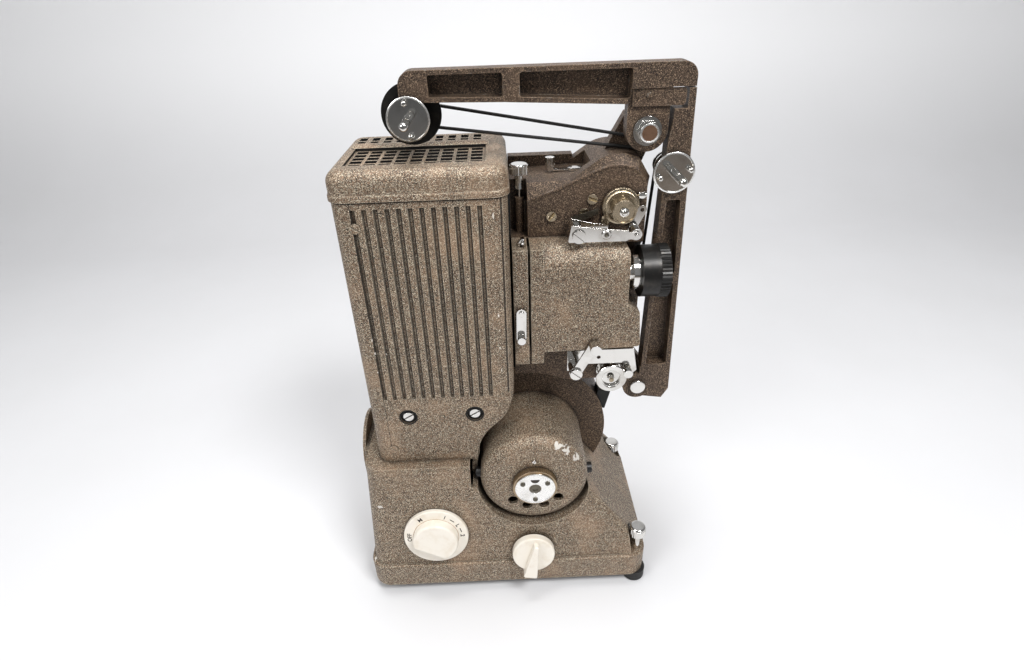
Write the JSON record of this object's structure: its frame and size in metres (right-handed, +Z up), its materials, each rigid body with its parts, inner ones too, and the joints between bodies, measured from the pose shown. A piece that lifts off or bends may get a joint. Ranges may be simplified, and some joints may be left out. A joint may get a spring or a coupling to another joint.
{
  "type": "movie projector",
  "caption": "Folded narrow-film movie projector with a tall ribbed lamp house, round motor, film sprockets, lens, two reel arms and cream dials",
  "frame": {"origin": "Middle of the whole footprint at the height of the table under the feet, with both arms folded", "axes": "+X points along the light from the lamp to the lens, +Y points to the back, +Z is up"},
  "size_m": [0.2613, 0.1528, 0.4228],
  "materials": {
    "hammer_paint": "hammered enamel",
    "black_plate": "matte",
    "black_rubber": "matte",
    "black_moulding": "moulded",
    "dark_iron": "plain",
    "bright_chrome": "polished",
    "satin_steel": "satin",
    "nickel_brass": "worn",
    "clear_glass": "polished",
    "black_anodised": "anodised",
    "cream_plastic": "moulded"
  },
  "bodies": {
    "root": {"base_casting": "hammer_paint", "base_plate": "black_plate", "fixed_feet": "black_rubber", "socket_panel": "hammer_paint", "mains_inlet": "black_moulding", "motor_housing": "hammer_paint", "motor_stator": "dark_iron", "brush_caps": "black_moulding", "blower_housing": "hammer_paint", "lamp_house_body": "hammer_paint", "lamp_house_front": "hammer_paint", "lamp_house_cap": "hammer_paint", "cap_grille": "hammer_paint", "cover_screws": "hammer_paint", "lamp_adjusters": "bright_chrome", "lamp_bulb": "clear_glass", "lamp_socket": "nickel_brass", "condenser_lenses": "clear_glass", "mechanism_casting": "hammer_paint", "rear_cover": "hammer_paint", "gate_block": "hammer_paint", "casting_screws": "nickel_brass", "arm_bracket": "hammer_paint", "arm_bolt": "bright_chrome", "pivot_posts": "bright_chrome", "control_bodies": "black_moulding", "drive_belt": "black_rubber"},
    "rotor": {"motor_armature": "dark_iron", "inching_knob": "satin_steel", "fan_wheel": "satin_steel"},
    "cross_shaft": {"drive_shaft": "satin_steel"},
    "shutter_shaft": {"shutter": "satin_steel"},
    "upper_sprocket_shaft": {"upper_sprocket": "nickel_brass"},
    "lower_sprocket_shaft": {"lower_sprocket": "bright_chrome"},
    "upper_keeper_body": {"upper_keeper": "bright_chrome"},
    "upper_roller_body": {"upper_roller": "bright_chrome"},
    "lower_keeper_body": {"lower_keeper": "bright_chrome"},
    "lower_roller_body": {"lower_roller": "bright_chrome"},
    "lens_carrier": {"lens_housing": "hammer_paint"},
    "gate_lever_body": {"gate_lever": "bright_chrome"},
    "barrel_body": {"lens_barrel": "bright_chrome"},
    "ring_body": {"focus_ring": "black_anodised"},
    "framing_body": {"framing_knob": "bright_chrome"},
    "clutch_body": {"clutch_lever": "bright_chrome"},
    "feed_arm_body": {"feed_arm": "hammer_paint", "latch_plate": "hammer_paint", "feed_belt": "black_rubber"},
    "feed_spindle_body": {"feed_spindle": "bright_chrome", "feed_pulley": "black_anodised"},
    "take_up_arm_body": {"take_up_arm": "hammer_paint", "take_up_belt": "black_rubber"},
    "take_up_spindle_body": {"take_up_spindle": "bright_chrome"},
    "take_up_pulley_body": {"take_up_pulley": "black_anodised"},
    "switch_body": {"switch_dial": "cream_plastic"},
    "speed_body": {"speed_knob": "cream_plastic"},
    "front_foot": {"levelling_foot_front": "black_rubber"},
    "rear_foot": {"levelling_foot_rear": "black_rubber"},
    "front_screw": {"levelling_screw_front": "bright_chrome"},
    "rear_screw": {"levelling_screw_rear": "bright_chrome"}
  },
  "joints": [
    {"name": "rotor_spin", "type": "hinge", "parent": "root", "child": "rotor", "pos_m": [0.0146, 0.005, 0.119], "axis": [0, 1, 0], "continuous": true},
    {"name": "cross_spin", "type": "hinge", "parent": "root", "child": "cross_shaft", "pos_m": [0.0528, 0.005, 0.25], "axis": [0, 1, 0], "continuous": true},
    {"name": "shutter_spin", "type": "hinge", "parent": "root", "child": "shutter_shaft", "pos_m": [0.0408, 0.011, 0.27], "axis": [1, 0, 0], "continuous": true},
    {"name": "upper_sprocket_spin", "type": "hinge", "parent": "root", "child": "upper_sprocket_shaft", "pos_m": [0.0794, 0.005, 0.3325], "axis": [0, 1, 0], "continuous": true},
    {"name": "lower_sprocket_spin", "type": "hinge", "parent": "root", "child": "lower_sprocket_shaft", "pos_m": [0.0783, 0.005, 0.195], "axis": [0, 1, 0], "continuous": true},
    {"name": "upper_keeper_swing", "type": "hinge", "parent": "root", "child": "upper_keeper_body", "pos_m": [0.0486, -0.02, 0.3182], "axis": [0, 1, 0], "range_deg": [0, 5], "stiffness_Nm_per_rad": 0.05, "springref_deg": -11.46},
    {"name": "upper_roller_spin", "type": "hinge", "parent": "upper_keeper_body", "child": "upper_roller_body", "pos_m": [0.0881, -0.017, 0.3173], "axis": [0, 1, 0], "continuous": true},
    {"name": "lower_keeper_swing", "type": "hinge", "parent": "root", "child": "lower_keeper_body", "pos_m": [0.0486, -0.02, 0.2092], "axis": [0, -1, 0], "range_deg": [0, 7], "stiffness_Nm_per_rad": 0.06, "springref_deg": -17.19},
    {"name": "lower_roller_spin", "type": "hinge", "parent": "lower_keeper_body", "child": "lower_roller_body", "pos_m": [0.0906, -0.013, 0.202], "axis": [0, 1, 0], "continuous": true},
    {"name": "gate_open", "type": "slide", "parent": "root", "child": "lens_carrier", "axis": [1, 0, 0], "range_m": [0, 0.003]},
    {"name": "gate_lever_turn", "type": "hinge", "parent": "root", "child": "gate_lever_body", "pos_m": [0.008, -0.03, 0.263], "axis": [0, -1, 0], "range_deg": [0, 60]},
    {"name": "focus_travel", "type": "slide", "parent": "lens_carrier", "child": "barrel_body", "axis": [1, 0, 0], "range_m": [-0.0015, 0.0015]},
    {"name": "focus_turn", "type": "hinge", "parent": "barrel_body", "child": "ring_body", "pos_m": [0.1008, -0.014, 0.2855], "axis": [1, 0, 0], "range_deg": [-180, 180]},
    {"name": "framing_turn", "type": "hinge", "parent": "root", "child": "framing_body", "pos_m": [0.0098, 0.007, 0.35], "axis": [0, 0, 1], "range_deg": [-150, 150]},
    {"name": "clutch_swing", "type": "hinge", "parent": "root", "child": "clutch_body", "pos_m": [0.0328, 0.025, 0.351], "axis": [0, 0, 1], "range_deg": [-22, 22]},
    {"name": "take_up_arm_fold", "type": "hinge", "parent": "root", "child": "take_up_arm_body", "pos_m": [0.1041, 0.005, 0.1744], "axis": [0, 1, 0], "range_deg": [0, 100]},
    {"name": "feed_arm_fold", "type": "hinge", "parent": "root", "child": "feed_arm_body", "pos_m": [0.0948, 0.005, 0.381], "axis": [0, 1, 0], "range_deg": [0, 105]},
    {"name": "feed_spindle_spin", "type": "hinge", "parent": "feed_arm_body", "child": "feed_spindle_body", "pos_m": [-0.0603, 0.005, 0.3947], "axis": [0, 1, 0], "continuous": true},
    {"name": "take_up_spindle_spin", "type": "hinge", "parent": "take_up_arm_body", "child": "take_up_spindle_body", "pos_m": [0.1141, 0.005, 0.354], "axis": [0, 1, 0], "continuous": true},
    {"name": "take_up_pulley_spin", "type": "hinge", "parent": "root", "child": "take_up_pulley_body", "pos_m": [0.1041, 0.014, 0.1744], "axis": [0, 1, 0], "continuous": true},
    {"name": "switch_turn", "type": "hinge", "parent": "root", "child": "switch_body", "pos_m": [-0.0697, -0.05816, 0.067], "axis": [0, -0.9929, 0.1191], "range_deg": [-60, 60]},
    {"name": "speed_turn", "type": "hinge", "parent": "root", "child": "speed_body", "pos_m": [0.0122, -0.06056, 0.047], "axis": [0, -0.9929, 0.1191], "range_deg": [-135, 135]},
    {"name": "front_foot_travel", "type": "slide", "parent": "root", "child": "front_foot", "axis": [0, 0, -1], "range_m": [0, 0.01]},
    {"name": "rear_foot_travel", "type": "slide", "parent": "root", "child": "rear_foot", "axis": [0, 0, -1], "range_m": [0, 0.01]},
    {"name": "front_screw_turn", "type": "hinge", "parent": "front_foot", "child": "front_screw", "pos_m": [0.1032, -0.0546, 0.03], "axis": [0, 0, 1], "range_deg": [0, 3600]},
    {"name": "rear_screw_turn", "type": "hinge", "parent": "rear_foot", "child": "rear_screw", "pos_m": [0.0993, 0.053, 0.03], "axis": [0, 0, 1], "range_deg": [0, 3600]}
  ],
  "couplings": [
    {"joint": "cross_spin", "follows": "rotor_spin", "ratio": 0.33333},
    {"joint": "shutter_spin", "follows": "rotor_spin", "ratio": -0.33333},
    {"joint": "upper_sprocket_spin", "follows": "rotor_spin", "ratio": 0.041667},
    {"joint": "lower_sprocket_spin", "follows": "rotor_spin", "ratio": 0.041667},
    {"joint": "take_up_pulley_spin", "follows": "rotor_spin", "ratio": 0.020833},
    {"joint": "take_up_spindle_spin", "follows": "rotor_spin", "ratio": 0.020833},
    {"joint": "feed_arm_fold", "follows": "take_up_arm_fold", "ratio": 1.05},
    {"joint": "gate_lever_turn", "follows": "gate_open", "rad_per_m": 349},
    {"joint": "focus_turn", "follows": "focus_travel", "rad_per_m": 2094},
    {"joint": "front_screw_turn", "follows": "front_foot_travel", "rad_per_m": 6283},
    {"joint": "rear_screw_turn", "follows": "rear_foot_travel", "rad_per_m": 6283}
  ]
}
